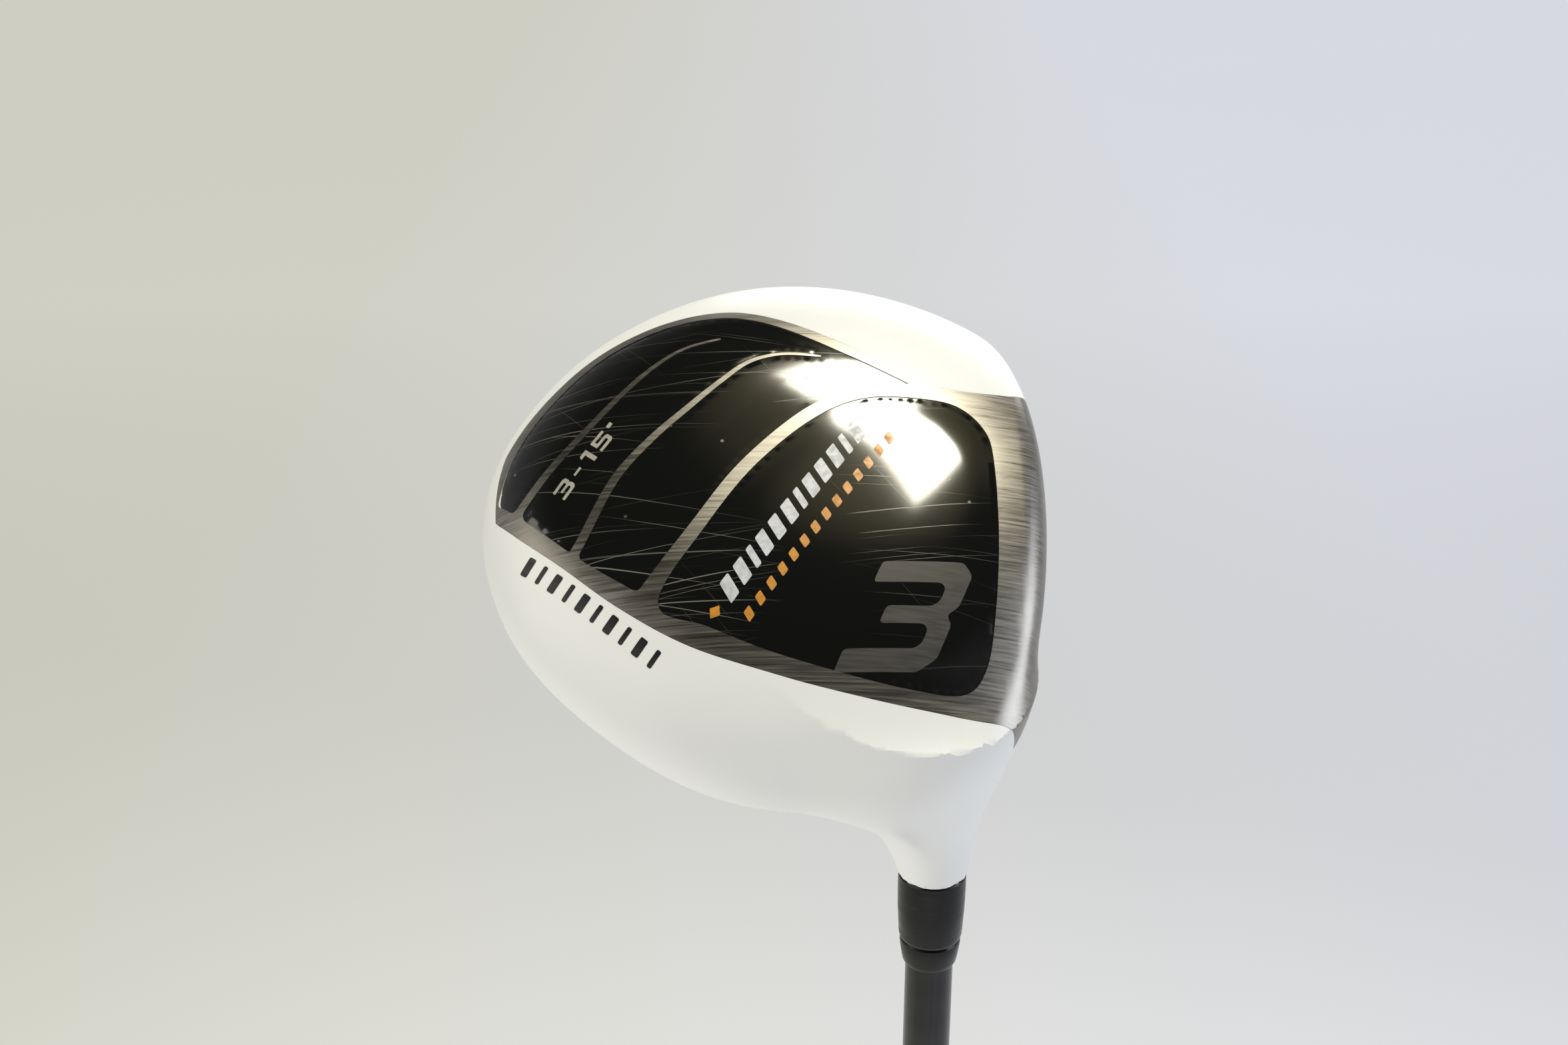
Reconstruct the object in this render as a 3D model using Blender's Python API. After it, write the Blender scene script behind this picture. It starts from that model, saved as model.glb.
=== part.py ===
"""Fairway wood, 15 degrees, right-handed: hollow head, ferrule, tapered shaft and rubber grip.

World frame: origin at the centre of the grip's butt face, +Z up the shaft to the head,
+X the way the face looks, +Y from heel to toe. The head is shaped in its own address frame
(x heel to toe, y to the target, z up from the ground, origin where the shaft's axis meets
the ground) and set on the shaft by HEAD_PLACE.
"""
import math

import bmesh
import bpy
from mathutils import Matrix, Vector

MM = 0.001
GAP = 0.3                    # clearance between neighbouring pieces

# Club
CLUB_LENGTH = 1105.0         # butt to the ground point of the shaft's axis
LIE = math.radians(58.5)
LOFT = math.radians(15.0)

# Head, in its address frame
HEAD_CENTRE = (30.6, -30.6)  # middle of the outline
OUTLINE = [48.0, 52.1, 58.1, 64.1, 65.5, 64.0, 59.2, 52.7, 50.5, 49.0, 45.9, 45.5]  # every 30 deg
EQUATOR = 18.9               # height of the widest line
CROWN_RISE = 17.1            # crown above the equator
SOLE_POWER = (3.0, 1.9)      # roundness of the sole, outward and downward
CROWN_POWER = (2.2, 2.0)
FACE_FRONT = 22.0            # leading edge ahead of the shaft's axis
FACE_MIDDLE = 27.0
FACE_LOW = 3.6
FACE_MID_HEIGHT = 16.2
BULGE = 252.0
ROLL = 288.0
HEAD_SIDES = 48

WALL = 1.5
FACE_WALL = 3.4
SEAM_HEIGHT = 23.0           # seam between body and crown, at SEAM_REAR
SEAM_REAR = -82.0
SEAM_SLOPE = 0.094
SOLE_FLOOR = -5.0            # lower end of the tools that cut the sole
SOLE_CEILING = 17.5          # and their upper end
FACE_CUT_BACK = 10.5         # the face opening is cut from here forward
AHEAD = 60.0                 # a place well ahead of the face
FACE_THICK = 2.8
PLATE_THICK = 2.2
INLAY_THICK = 0.8

# Hosel
HOSEL_TOP = 53.8             # along the axis, from the ground
HOSEL_RADIUS = 6.2
NECK_START = 24.0
NECK_FLARE = 6.5             # how much wider than its top the neck grows inside the heel
NECK_REACH = 16.0            # distance below the top over which it grows
NECK_RINGS = 8
TUBE_SPAN = (16.0, 30.0)
TUBE_RADIUS = 5.6
BORE_START = 5.0
BORE_END = 60.0

# Shaft and ferrule
TIP_RADIUS = 4.25
BUTT_RADIUS = 7.6
TIP_DEPTH = 17.5             # how far the tip stops above the ground, along the axis
TIP_STRAIGHT = 75.0
SHAFT_BUTT = 4.2
BORE_RADIUS = TIP_RADIUS + GAP
COLLAR_LENGTH = 13.0
COLLAR_RADII = (5.95, 5.5)
END_RING_LENGTH = 5.0
END_RING_RADII = (5.4, 4.8)
WEIGHT_RADIUS = 2.2
WEIGHT_LENGTH = 22.0
PLUG_LENGTH = 9.0
WEIGHT_INSET = 4.0           # below the tip
REAR_WEIGHT = (12.0, 20.0)   # its height above the ground

# Grip
GRIP_LENGTH = 268.0
CAP_HEIGHT = 3.6
CAP_RADIUS = 13.4
GRIP_MOUTH_RADIUS = 9.4
TAPE_THICK = 0.3

HEAD_PLACE = Matrix((
    (0.0, 1.0, 0.0, 0.0),
    (math.sin(LIE), 0.0, math.cos(LIE), 0.0),
    (math.cos(LIE), 0.0, -math.sin(LIE), CLUB_LENGTH * MM),
    (0.0, 0.0, 0.0, 1.0)))

# Outlines seen from above the head, toe side first, then heel side
PLATE_OUTLINE = [(26.5, -79.0), (34.0, -76.5), (44.5, -70.5), (55.0, -61.0), (61.5, -49.5),
                 (63.5, -38.0), (61.0, -28.0), (53.5, -14.0), (47.5, -4.5), (44.5, 3.0),
                 (45.0, 14.0), (47.5, 30.0), (-17.0, 30.0), (-18.5, 10.0), (-17.5, -3.0),
                 (-15.5, -15.0), (-12.5, -27.0), (-7.5, -41.0), (0.0, -53.0), (8.5, -63.0),
                 (18.0, -73.0)]
REAR_INLAY = [(25.0, -76.2), (33.5, -74.2), (43.5, -68.6), (53.7, -59.5), (59.8, -48.8),
              (61.7, -38.2), (59.2, -28.5), (51.5, -14.8), (44.8, -3.5), (44.0, -12.0),
              (38.5, -22.3), (27.0, -33.5), (13.8, -42.3), (2.5, -50.3), (9.0, -59.5),
              (15.0, -66.3)]
FRONT_INLAY = [(0.2, -46.8), (13.6, -39.4), (26.3, -30.9), (36.6, -20.5), (41.2, -11.5),
               (41.6, -1.0), (40.2, 5.0), (35.5, 9.2), (29.0, 10.4),
               (14.0, 10.4), (0.0, 9.2), (-9.5, 7.4), (-14.4, 3.4), (-14.2, -6.0),
               (-12.0, -17.0), (-8.6, -28.5), (-4.2, -38.5)]
RIB_1 = [(19.0, -75.0), (21.5, -71.8), (28.0, -66.8), (35.0, -61.0), (43.0, -54.8), (49.0, -49.5),
         (53.5, -43.8), (55.6, -37.0)]
RIB_2 = [(9.0, -63.0), (12.5, -60.4), (24.2, -55.0), (32.0, -49.2), (38.5, -43.2), (45.0, -37.0),
         (49.5, -32.0), (51.3, -26.0), (50.8, -19.0)]
RIB_WIDTHS = (2.2, 0.7)
FACE_OUTLINE = [(-4.0, 0.0), (40.0, 0.0), (43.5, 9.0), (43.0, 17.0), (40.0, 22.3), (33.0, 26.2),
                (22.0, 27.4), (11.0, 25.8), (3.0, 22.6), (-2.5, 18.0), (-4.8, 12.0)]

PAINT = ("white_paint", (0.86, 0.87, 0.86, 1.0), 0.18, 0.0)
STEEL = ("brushed_steel", (0.26, 0.24, 0.21, 1.0), 0.34, 1.0)
GLOSS_BLACK = ("gloss_black", (0.012, 0.013, 0.012, 1.0), 0.08, 0.0)
BLACK_PLASTIC = ("black_plastic", (0.010, 0.010, 0.011, 1.0), 0.30, 0.0)
GRAPHITE = ("graphite", (0.030, 0.030, 0.032, 1.0), 0.25, 0.0)
BRASS = ("brass", (0.55, 0.40, 0.16, 1.0), 0.35, 1.0)
CORK = ("cork", (0.45, 0.30, 0.17, 1.0), 0.85, 0.0)
TAPE = ("grip_tape", (0.60, 0.52, 0.38, 1.0), 0.80, 0.0)
RUBBER = ("grip_rubber", (0.020, 0.020, 0.020, 1.0), 0.75, 0.0)


def clear_scene():
    for item in list(bpy.data.objects):
        bpy.data.objects.remove(item, do_unlink=True)


def material(look):
    name, colour, roughness, metallic = look
    found = bpy.data.materials.get(name)
    if found:
        return found
    made = bpy.data.materials.new(name)
    made.use_nodes = True
    shader = made.node_tree.nodes["Principled BSDF"]
    shader.inputs["Base Color"].default_value = colour
    shader.inputs["Roughness"].default_value = roughness
    shader.inputs["Metallic"].default_value = metallic
    made.diffuse_color = colour
    return made


def solid(name, points, faces):
    """A closed mesh object from points in millimetres, its faces turned outward."""
    mesh = bpy.data.meshes.new(name)
    mesh.from_pydata([Vector(p) * MM for p in points], [], faces)
    shape = bmesh.new()
    shape.from_mesh(mesh)
    bmesh.ops.recalc_face_normals(shape, faces=shape.faces)
    shape.to_mesh(mesh)
    shape.free()
    item = bpy.data.objects.new(name, mesh)
    bpy.context.scene.collection.objects.link(item)
    return item


def stacked(name, rings):
    """Joins rings of equal count into a closed solid with flat caps."""
    count = len(rings[0])
    points = [p for ring in rings for p in ring]
    faces = []
    for row in range(len(rings) - 1):
        for k in range(count):
            a, b = row * count + k, row * count + (k + 1) % count
            faces.append((a, b, b + count, a + count))
    faces.append(tuple(range(count)))
    faces.append(tuple(range((len(rings) - 1) * count, len(rings) * count)))
    return solid(name, points, faces)


def turned(name, profile, sides=36):
    """A closed profile of (radius, z) points turned about the shaft's axis."""
    count = len(profile)
    points = []
    for k in range(sides):
        angle = 2.0 * math.pi * k / sides
        points += [(r * math.cos(angle), r * math.sin(angle), z) for r, z in profile]
    faces = []
    for k in range(sides):
        near, far = k * count, (k + 1) % sides * count
        for row in range(count):
            nxt = (row + 1) % count
            faces.append((near + row, far + row, far + nxt, near + nxt))
    return solid(name, points, faces)


def rod(name, stations, sides=36):
    """A solid of revolution about the shaft's axis from (radius, z) stations, ends closed."""
    turns = [2.0 * math.pi * k / sides for k in range(sides)]
    return stacked(name, [[(r * math.cos(a), r * math.sin(a), z) for a in turns]
                          for r, z in stations])


def from_ground(distance):
    """World height of a place this far up the shaft's axis from the ground."""
    return CLUB_LENGTH - distance


def into_head(item):
    """Moves a solid made on the shaft's axis into the head's address frame."""
    item.data.transform(HEAD_PLACE.inverted())
    return item


def combine(item, tool, how):
    """Applies an exact Boolean of item with tool and removes the tool."""
    cut = item.modifiers.new("cut", "BOOLEAN")
    cut.operation = how
    cut.solver = "EXACT"
    cut.object = tool
    ready = item.evaluated_get(bpy.context.evaluated_depsgraph_get())
    mesh = bpy.data.meshes.new_from_object(ready)
    item.modifiers.clear()
    item.data = mesh
    bpy.data.objects.remove(tool, do_unlink=True)
    return item


def smooth_loop(points, steps=3):
    """A closed curve through the points (Catmull-Rom)."""
    loop, count = [], len(points)
    for k in range(count):
        a, b, c, d = (Vector(points[(k + j) % count]) for j in (-1, 0, 1, 2))
        for step in range(steps):
            t = step / steps
            loop.append(0.5 * (2 * b + (c - a) * t + (2 * a - 5 * b + 4 * c - d) * t * t
                               + (3 * b - a - 3 * c + d) * t ** 3))
    return loop


def grown(loop, amount):
    """Moves a counter-clockwise loop outward by amount."""
    count, result = len(loop), []
    for k in range(count):
        along = (loop[(k + 1) % count] - loop[k - 1]).normalized()
        result.append(loop[k] + amount * Vector((along.y, -along.x)))
    return result


def ribbon(centre, widths):
    """Outline of a rib that narrows from its first point to its last."""
    line = [Vector(p) for p in centre]
    left, right = [], []
    for k, point in enumerate(line):
        along = (line[min(k + 1, len(line) - 1)] - line[max(k - 1, 0)]).normalized()
        half = 0.5 * (widths[0] + (widths[1] - widths[0]) * k / (len(line) - 1))
        side = half * Vector((along.y, -along.x))
        left.append(point - side)
        right.append(point + side)
    return right + left[::-1]


def plan_prism(name, loop, low=SOLE_FLOOR, high=SOLE_CEILING):
    """An upright prism over a loop in the head's plan view."""
    return stacked(name, [[(p.x, p.y, z) for p in loop] for z in (low, high)])


def face_prism(name, loop, near, far):
    """A prism over an (x, z) loop, along the line of flight."""
    return stacked(name, [[(p.x, y, p.y) for p in loop] for y in (near, far)])


def outline_radius(angle):
    """Radius of the head's outline at this angle: a periodic cubic through OUTLINE."""
    count = len(OUTLINE)
    place = angle / (2.0 * math.pi) * count % count
    k, t = int(place), place % 1.0
    a, b, c, d = (OUTLINE[(k + j) % count] for j in (-1, 0, 1, 2))
    return 0.5 * (2 * b + (c - a) * t + (2 * a - 5 * b + 4 * c - d) * t * t
                  + (3 * b - a - 3 * c + d) * t ** 3)


def face_line(x, z):
    """Place of the face along the line of flight, with loft, bulge and roll."""
    return (FACE_FRONT - (x - FACE_MIDDLE) ** 2 / (2.0 * BULGE)
            - (z - FACE_LOW) * math.tan(LOFT) - (z - FACE_MID_HEIGHT) ** 2 / (2.0 * ROLL))


def head_ring(turn, power, height, shrink):
    """One level ring of the head: turn runs from 0 at the pole to 90 degrees at the equator."""
    reach = math.sin(turn) ** (2.0 / power[0])
    rise = math.cos(turn) ** (2.0 / power[1]) * height
    ring = []
    for k in range(HEAD_SIDES):
        angle = 2.0 * math.pi * k / HEAD_SIDES
        radius = reach * (outline_radius(angle) - shrink)
        ring.append((HEAD_CENTRE[0] + radius * math.cos(angle),
                     HEAD_CENTRE[1] + radius * math.sin(angle), EQUATOR + rise))
    return ring


def pillow(name, shrink=0.0):
    """The head's rounded form before the face is cut."""
    steps = (7, 17, 28, 40, 52, 65, 78)
    low = [head_ring(math.radians(a), SOLE_POWER, -(EQUATOR - shrink), shrink) for a in steps]
    high = [head_ring(math.radians(a), CROWN_POWER, CROWN_RISE - shrink, shrink) for a in steps]
    middle = [head_ring(math.pi / 2.0, SOLE_POWER, 0.0, shrink)]
    return stacked(name, low + middle + high[::-1])


def face_slab(name, near, far):
    """A curved slab that follows the face, from near to far ahead of its surface."""
    across, rising = 18, 10
    points = []
    for offset in (near, far):
        for i in range(across + 1):
            for j in range(rising + 1):
                x, z = -45.0 + 140.0 * i / across, -8.0 + 56.0 * j / rising
                points.append((x, face_line(x, z) + offset, z))
    layer, row = (across + 1) * (rising + 1), rising + 1
    faces = []
    for i in range(across):
        for j in range(rising):
            a = i * row + j
            faces.append((a, a + row, a + row + 1, a + 1))
            faces.append((layer + a, layer + a + 1, layer + a + row + 1, layer + a + row))
    edge = [i * row for i in range(across)] + [across * row + j for j in range(rising)]
    edge += [i * row + rising for i in range(across, 0, -1)] + list(range(rising, 0, -1))
    for k, a in enumerate(edge):
        b = edge[(k + 1) % len(edge)]
        faces.append((a, b, layer + b, layer + a))
    return solid(name, points, faces)


def blank(name, shrink=0.0, face_back=0.0, lift=0.0):
    """The solid head with its face cut, shrunk by a wall or lifted by a thickness."""
    head = combine(pillow(name, shrink), face_slab("ahead", -face_back, AHEAD), "DIFFERENCE")
    head.data.transform(Matrix.Translation((0.0, 0.0, lift * MM)))
    return head


def skin(name, loop, depth):
    """The part of the sole inside loop, depth thick measured upward."""
    piece = combine(plan_prism(name, loop), blank("whole"), "INTERSECT")
    return combine(piece, blank("lifted", lift=depth), "DIFFERENCE")


def pocket(name, loop, depth):
    """Everything inside loop from below the sole to depth above its surface."""
    return combine(plan_prism(name, loop), blank("lifted", lift=depth), "DIFFERENCE")


def above_seam(name, gap):
    """The space above the tilted seam between body and crown."""
    front, back, side = 60.0, -120.0, 160.0
    rise = [SEAM_HEIGHT + SEAM_SLOPE * (y - SEAM_REAR) + gap for y in (back, front)]
    low = [(-side, back, rise[0]), (side, back, rise[0]), (side, front, rise[1]),
           (-side, front, rise[1])]
    return stacked(name, [low, [(x, y, 90.0) for x, y, z in low]])


def neck(name, extra=0.0):
    """The flared hosel, from inside the heel to its top."""
    stations = []
    for step in range(NECK_RINGS + 1):
        place = NECK_START + (HOSEL_TOP - NECK_START) * step / NECK_RINGS
        growth = 1.0 - math.exp(-((HOSEL_TOP - place) / NECK_REACH) ** 1.5)
        stations.append((HOSEL_RADIUS + NECK_FLARE * growth + extra, from_ground(place)))
    return into_head(rod(name, stations, 36))


def place_head_piece(item, look):
    item.matrix_world = HEAD_PLACE
    finish(item, look)


def finish(item, look, sharp=30.0):
    item.data.materials.clear()
    item.data.materials.append(material(look))
    shape = bmesh.new()
    shape.from_mesh(item.data)
    bmesh.ops.remove_doubles(shape, verts=shape.verts, dist=0.00001)
    bmesh.ops.triangulate(shape, faces=shape.faces)
    bmesh.ops.dissolve_degenerate(shape, edges=shape.edges, dist=0.00001)
    shape.to_mesh(item.data)
    shape.free()
    item.data.shade_smooth()
    item.data.set_sharp_from_angle(angle=math.radians(sharp))


def rib_tool(loop):
    """A prism over a rib's outline, a little taller than the tools it cuts."""
    return plan_prism("rib", loop, SOLE_FLOOR - 1.0, SOLE_CEILING + 1.5)


def inlay_loops():
    rear, front = smooth_loop(REAR_INLAY), smooth_loop(FRONT_INLAY)
    ribs = [ribbon(RIB_1, RIB_WIDTHS), ribbon(RIB_2, RIB_WIDTHS)]
    return rear, front, ribs


def build_sole():
    rear, front, ribs = inlay_loops()
    plate = skin("sole_plate", smooth_loop(PLATE_OUTLINE), PLATE_THICK)
    for loop in (rear, front):
        hole = pocket("pocket", loop, INLAY_THICK + GAP)
        if loop is rear:
            for rib in ribs:
                combine(hole, rib_tool(rib), "DIFFERENCE")
        combine(plate, hole, "DIFFERENCE")
    place_head_piece(plate, STEEL)

    inlay = skin("sole_inlay_rear", grown(rear, -GAP), INLAY_THICK)
    for rib in ribs:
        combine(inlay, rib_tool(grown(rib, GAP)), "DIFFERENCE")
    place_head_piece(inlay, GLOSS_BLACK)
    inlay = skin("sole_inlay_front", grown(front, -GAP), INLAY_THICK)
    place_head_piece(inlay, GLOSS_BLACK)


def build_shell():
    body = combine(blank("body_casting"), blank("cavity", WALL, FACE_WALL), "DIFFERENCE")
    combine(body, above_seam("upper", -GAP / 2.0), "DIFFERENCE")
    combine(body, neck("neck"), "UNION")
    plate_loop = grown(smooth_loop(PLATE_OUTLINE), GAP)
    combine(body, pocket("sole_opening", plate_loop, PLATE_THICK + GAP), "DIFFERENCE")
    face_loop = grown(smooth_loop(FACE_OUTLINE), GAP)
    combine(body, face_prism("face_opening", face_loop, FACE_CUT_BACK, AHEAD), "DIFFERENCE")
    step = from_ground(TUBE_SPAN[1] + GAP)
    bore = [(TUBE_RADIUS + GAP, from_ground(BORE_START)), (TUBE_RADIUS + GAP, step),
            (BORE_RADIUS, step), (BORE_RADIUS, from_ground(BORE_END))]
    combine(body, into_head(rod("bore", bore, 36)), "DIFFERENCE")
    place_head_piece(body, PAINT)

    crown = combine(blank("crown_shell"), blank("cavity", WALL, FACE_WALL), "DIFFERENCE")
    combine(crown, above_seam("upper", GAP / 2.0), "INTERSECT")
    combine(crown, neck("neck", GAP), "DIFFERENCE")
    place_head_piece(crown, PAINT)


def build_face():
    face = face_prism("face_insert", smooth_loop(FACE_OUTLINE), 5.0, AHEAD)
    combine(face, face_slab("slab", -FACE_THICK, 0.0), "INTERSECT")
    combine(face, blank("lifted", lift=PLATE_THICK + GAP), "INTERSECT")
    place_head_piece(face, STEEL)


def build_inside():
    low, high = (from_ground(place) for place in TUBE_SPAN)
    tube = turned("hosel_tube", [(BORE_RADIUS, high), (TUBE_RADIUS, high), (TUBE_RADIUS, low),
                                 (BORE_RADIUS, low)])
    finish(tube, STEEL)
    pad = [Vector(p) for p in ((8.0, -90.0), (44.0, -90.0), (42.0, -68.0), (12.0, -68.0))]
    weight = plan_prism("rear_weight", pad, *REAR_WEIGHT)
    combine(weight, blank("cavity", WALL + GAP, FACE_WALL), "INTERSECT")
    combine(weight, pocket("plate", grown(smooth_loop(PLATE_OUTLINE), GAP), PLATE_THICK + GAP),
            "DIFFERENCE")
    place_head_piece(weight, STEEL)


def shaft_radius(z):
    straight = from_ground(TIP_DEPTH + TIP_STRAIGHT)
    part = min(1.0, max(0.0, z / straight))
    return BUTT_RADIUS + (TIP_RADIUS - BUTT_RADIUS) * part


def build_shaft():
    tip = from_ground(TIP_DEPTH)
    levels = [SHAFT_BUTT, 270.0, 520.0, 770.0, from_ground(TIP_DEPTH + TIP_STRAIGHT), tip]
    outer = [(shaft_radius(z), z) for z in levels]
    walls = (0.9, 1.0, 1.1, 1.3, 1.6, 1.7)
    inner = [(shaft_radius(z) - wall, z) for z, wall in zip(levels, walls)]
    finish(turned("shaft_tube", outer + inner[::-1]), GRAPHITE)
    top = tip - WEIGHT_INSET
    low = top - WEIGHT_LENGTH
    finish(rod("tip_weight", [(WEIGHT_RADIUS, low), (WEIGHT_RADIUS, top)], 24), BRASS)
    top = low - GAP
    low = top - PLUG_LENGTH
    finish(rod("tip_plug", [(WEIGHT_RADIUS, low), (WEIGHT_RADIUS, top)], 24), CORK)


def build_ferrule():
    top = from_ground(HOSEL_TOP) - GAP
    seam = top - COLLAR_LENGTH
    collar = [(BORE_RADIUS, top), (COLLAR_RADII[0], top), (COLLAR_RADII[1], seam),
              (BORE_RADIUS, seam)]
    finish(turned("ferrule_collar", collar), BLACK_PLASTIC)
    top = seam - GAP
    end = top - END_RING_LENGTH
    ring = [(BORE_RADIUS, top), (END_RING_RADII[0], top), (END_RING_RADII[1], end),
            (BORE_RADIUS, end)]
    finish(turned("ferrule_end_ring", ring), BLACK_PLASTIC)


def build_grip():
    cap = [(CAP_RADIUS - 1.6, 0.0), (CAP_RADIUS - 0.4, 0.5), (CAP_RADIUS, 1.6),
           (CAP_RADIUS, CAP_HEIGHT)]
    finish(rod("grip_cap", cap), RUBBER)
    start = CAP_HEIGHT + GAP
    levels = [start, 30.0, 90.0, 180.0, GRIP_LENGTH - 6.0, GRIP_LENGTH]
    radii = [CAP_RADIUS, 13.0, 12.0, 10.8, GRIP_MOUTH_RADIUS, GRIP_MOUTH_RADIUS - 0.6]
    around_tape = TAPE_THICK + 2.0 * GAP
    inner = [(shaft_radius(z) + around_tape, z) for z in levels]
    finish(turned("grip_sleeve", list(zip(radii, levels)) + inner[::-1]), RUBBER)
    levels = [start + 2.0, GRIP_LENGTH - 4.0]
    outer = [(shaft_radius(z) + TAPE_THICK + GAP, z) for z in levels]
    inner = [(shaft_radius(z) + GAP, z) for z in levels]
    finish(turned("grip_tape", outer + inner[::-1]), TAPE)


def main():
    clear_scene()
    build_shell()
    build_sole()
    build_face()
    build_inside()
    build_ferrule()
    build_shaft()
    build_grip()


main()
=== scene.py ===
"""Looks of the fairway wood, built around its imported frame.

The head is shaped in its own address frame (x heel to toe, y to the target, z up from the
ground, millimetres) by one smooth field, and set on the shaft by HEAD_PLACE. Body, crown,
sole plate and face are cut from that one form, so they meet along fine lines.
"""
import math

import bmesh
import bpy
import numpy as np
from mathutils import Matrix, Vector
from mathutils.geometry import delaunay_2d_cdt


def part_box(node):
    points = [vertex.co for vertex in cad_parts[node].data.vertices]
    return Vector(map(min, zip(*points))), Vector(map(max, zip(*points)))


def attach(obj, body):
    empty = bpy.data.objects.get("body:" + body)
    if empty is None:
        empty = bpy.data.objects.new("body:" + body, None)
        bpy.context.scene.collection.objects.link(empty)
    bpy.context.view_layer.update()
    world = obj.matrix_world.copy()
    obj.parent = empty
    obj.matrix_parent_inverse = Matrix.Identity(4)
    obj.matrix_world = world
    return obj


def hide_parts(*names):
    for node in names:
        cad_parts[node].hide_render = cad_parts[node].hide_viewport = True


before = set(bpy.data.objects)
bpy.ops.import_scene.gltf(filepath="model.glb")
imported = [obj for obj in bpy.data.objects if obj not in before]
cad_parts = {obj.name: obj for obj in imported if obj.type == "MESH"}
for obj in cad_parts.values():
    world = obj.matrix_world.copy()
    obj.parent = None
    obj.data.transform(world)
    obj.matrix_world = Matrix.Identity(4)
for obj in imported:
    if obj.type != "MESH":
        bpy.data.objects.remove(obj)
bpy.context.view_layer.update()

MM = 0.001

# Head, in its address frame, in millimetres
LIE = math.radians(58.5)
LOFT = math.radians(15.0)
HEAD_CENTRE = (30.6, -30.6)
# The outline's radii about HEAD_CENTRE, one every 30 degrees from the toe side round by the face
OUTLINE = [48.0, 52.1, 58.1, 64.1, 65.5, 64.0, 59.2, 52.7, 50.5, 49.0, 45.9, 45.5]
EQUATOR = 18.9
CROWN_RISE = 17.1
SOLE_POWER = (3.0, 1.9)
CROWN_POWER = (2.2, 2.0)
FACE_FRONT = 22.0
FACE_MIDDLE = 27.0
FACE_LOW = 3.6
FACE_MID_HEIGHT = 16.2
BULGE = 252.0
ROLL = 288.0
SCORE_MIDDLE = 23.0
SCORE_SPAN = (6.0, 22.0)
SCORE_START = 7.0
SCORE_STEP = 3.0
SCORE_HALF = 0.45
SCORE_DEPTH = 0.25
SCORE_CLEAR = 6.0
SCORE_REACH = 17.0
FACE_HEEL = -5.0
HEEL_DRAW = 0.022
EDGE_BLEND = 6.0
NECK_BLEND = 15.0
HOSEL_RADIUS = 6.2
HOSEL_START = 25.0
NECK_FLARE = 6.5
NECK_REACH = 16.0
NECK_REARWARD = 0.55
HOSEL_TOP = 53.8
GAP = 0.3
SEAM = 0.06
SEAM_HEIGHT = 23.0
SEAM_SLOPE = 0.094
SEAM_REAR = -82.0
NET_LOW = (-36.0, -84.0, -2.4)
NET_HIGH = (84.0, 24.0, 50.4)
CAVITY_HIGH = (84.0, 24.0, 42.0)
HEAD_CELL = 1.2
CAVITY_CELL = 3.0
WALL = 2.0
PLATE_LIP = 4.2
PLATE_THICK = 1.3
LIP_THICK = 1.2
POCKET_DEPTH = 0.9
POCKET_GAP = 0.03
BORE_RADIUS = 4.4
BORE_SPAN = (60.0, 20.0)
FACE_THICK = 2.6
FACE_HOLE_BACK = 10.5
AHEAD = 60.0

PLATE_OUTLINE = [(26.5, -79.0), (34.0, -76.5), (44.5, -70.5), (55.0, -61.0), (61.5, -49.5),
                 (63.5, -38.0), (61.0, -28.0), (53.5, -14.0), (47.5, -4.5), (44.5, 3.0),
                 (45.0, 14.0), (47.5, 30.0), (-17.0, 30.0), (-18.5, 10.0), (-17.5, -3.0),
                 (-15.5, -15.0), (-12.5, -27.0), (-7.5, -41.0), (0.0, -53.0), (8.5, -63.0),
                 (18.0, -73.0)]
REAR_TOE_SIDE = [(25.0, -76.2), (33.5, -74.2), (43.5, -68.6), (53.7, -59.5), (59.8, -48.8),
                 (61.7, -38.2), (59.2, -28.5), (51.5, -14.8), (44.8, -3.5)]
REAR_RIB_SIDE = [(44.8, -3.5), (44.0, -12.0), (38.5, -22.3), (27.0, -33.5), (13.8, -42.3),
                 (2.5, -50.3)]
REAR_HEEL_SIDE = [(2.5, -50.3), (9.0, -59.5), (16.0, -67.2), (25.0, -76.2)]
FRONT_INLAY = [(0.2, -46.8), (13.6, -39.4), (26.3, -30.9), (36.6, -20.5), (41.2, -11.5),
               (41.6, -1.0), (40.2, 5.0), (35.5, 9.2), (29.0, 10.4),
               (14.0, 10.4), (0.0, 9.2), (-9.5, 7.4), (-14.4, 3.4), (-14.2, -6.0),
               (-12.0, -17.0), (-8.6, -28.5), (-4.2, -38.5)]
RIB_1 = [(19.0, -75.0), (21.5, -71.8), (28.0, -66.8), (35.0, -61.0), (43.0, -54.8), (49.0, -49.5),
         (53.5, -43.8), (55.6, -37.0)]
RIB_2 = [(9.0, -63.0), (12.5, -60.4), (24.2, -55.0), (32.0, -49.2), (38.5, -43.2), (45.0, -37.0),
         (49.5, -32.0), (51.3, -26.0), (50.8, -19.0)]
RIB_WIDTHS = (2.0, 0.5)
PANEL_SWELL = 0.3
PANEL_DISH = 0.15
PANEL_EASE = 5.0
FACE_OUTLINE = [(-4.0, 0.0), (40.0, 0.0), (43.5, 9.0), (43.0, 17.0), (40.0, 22.3), (33.0, 26.2),
                (22.0, 27.4), (11.0, 25.8), (3.0, 22.6), (-2.5, 18.0), (-4.8, 12.0)]

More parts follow.
